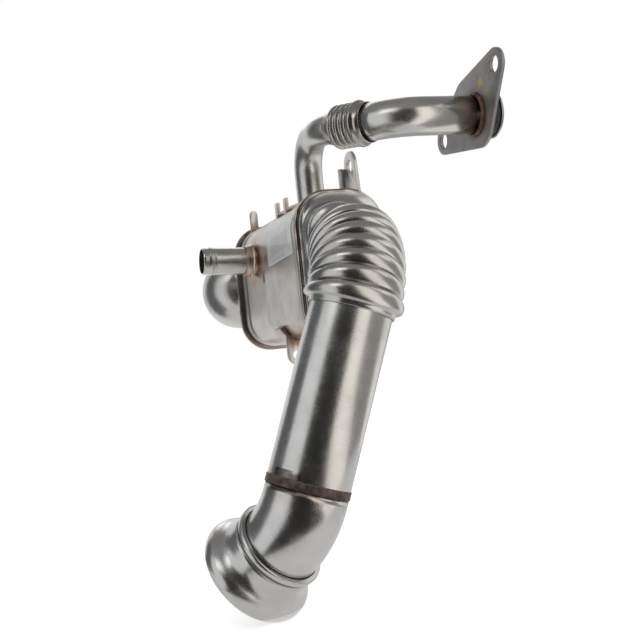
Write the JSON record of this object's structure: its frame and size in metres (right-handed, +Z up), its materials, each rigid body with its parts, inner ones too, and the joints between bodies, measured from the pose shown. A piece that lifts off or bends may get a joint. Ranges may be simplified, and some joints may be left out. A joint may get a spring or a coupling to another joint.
{
  "type": "egr cooler",
  "caption": "Exhaust gas cooler: a rounded core housing, a bent gas bellows with its down pipe and bell mouth, a small bolted gas pipe and coolant spigots.",
  "frame": {"origin": "centre of the core housing's flat underside", "axes": "+Y along the core, away from the big gas pipe; +Z up, from the housing's underside to its top; +X towards the pipe flange"},
  "size_m": [0.2656, 0.2956, 0.3475],
  "materials": {
    "housing": "satin rolled stainless sheet, rounded edges",
    "front_tube_plate": "satin stainless plate, brazed edge",
    "rear_tube_plate": "satin stainless plate, brazed edge",
    "front_baffle": "plain stainless sheet",
    "rear_baffle": "plain stainless sheet",
    "gas_tube_1": "drawn flat oval stainless tube",
    "gas_tube_2": "drawn flat oval stainless tube",
    "gas_tube_3": "drawn flat oval stainless tube",
    "gas_tube_4": "drawn flat oval stainless tube",
    "gas_tube_5": "drawn flat oval stainless tube",
    "gas_tube_6": "drawn flat oval stainless tube",
    "coolant_inlet_spigot": "drawn stainless tube",
    "coolant_inlet_ferrule": "copper brazed ring",
    "coolant_outlet_spigot": "drawn stainless tube",
    "coolant_outlet_ferrule": "copper brazed ring",
    "front_hood": "pressed stainless sheet, soft shine",
    "rear_hood": "pressed stainless sheet, soft shine",
    "gas_bellows": "formed stainless bellows, soft shine",
    "down_pipe": "satin stainless tube",
    "outlet_elbow": "bent stainless tube, satin",
    "seam_weld": "heat-tinted weld bead",
    "bell_mouth": "spun stainless, soft shine",
    "riser_pipe": "bent stainless tube, satin",
    "pipe_bellows": "formed stainless bellows, darker",
    "flange_pipe": "bent stainless tube, soft shine",
    "pipe_flange": "flat stamped steel plate, matt",
    "nose_ring": "turned steel ring",
    "seal_ring": "dark graphite ring",
    "flange_weld": "heat-tinted weld bead",
    "saddle_bracket": "folded stainless sheet",
    "top_lug": "stamped stainless sheet",
    "lower_bracket": "folded stainless sheet"
  },
  "bodies": {
    "root": {"housing": "housing", "front_tube_plate": "front_tube_plate", "rear_tube_plate": "rear_tube_plate", "front_baffle": "front_baffle", "rear_baffle": "rear_baffle", "gas_tube_1": "gas_tube_1", "gas_tube_2": "gas_tube_2", "gas_tube_3": "gas_tube_3", "gas_tube_4": "gas_tube_4", "gas_tube_5": "gas_tube_5", "gas_tube_6": "gas_tube_6", "coolant_inlet_spigot": "coolant_inlet_spigot", "coolant_inlet_ferrule": "coolant_inlet_ferrule", "coolant_outlet_spigot": "coolant_outlet_spigot", "coolant_outlet_ferrule": "coolant_outlet_ferrule", "front_hood": "front_hood", "rear_hood": "rear_hood", "gas_bellows": "gas_bellows", "down_pipe": "down_pipe", "outlet_elbow": "outlet_elbow", "seam_weld": "seam_weld", "bell_mouth": "bell_mouth", "riser_pipe": "riser_pipe", "pipe_bellows": "pipe_bellows", "flange_pipe": "flange_pipe", "pipe_flange": "pipe_flange", "nose_ring": "nose_ring", "seal_ring": "seal_ring", "flange_weld": "flange_weld", "saddle_bracket": "saddle_bracket", "top_lug": "top_lug", "lower_bracket": "lower_bracket"}
  },
  "joints": []
}
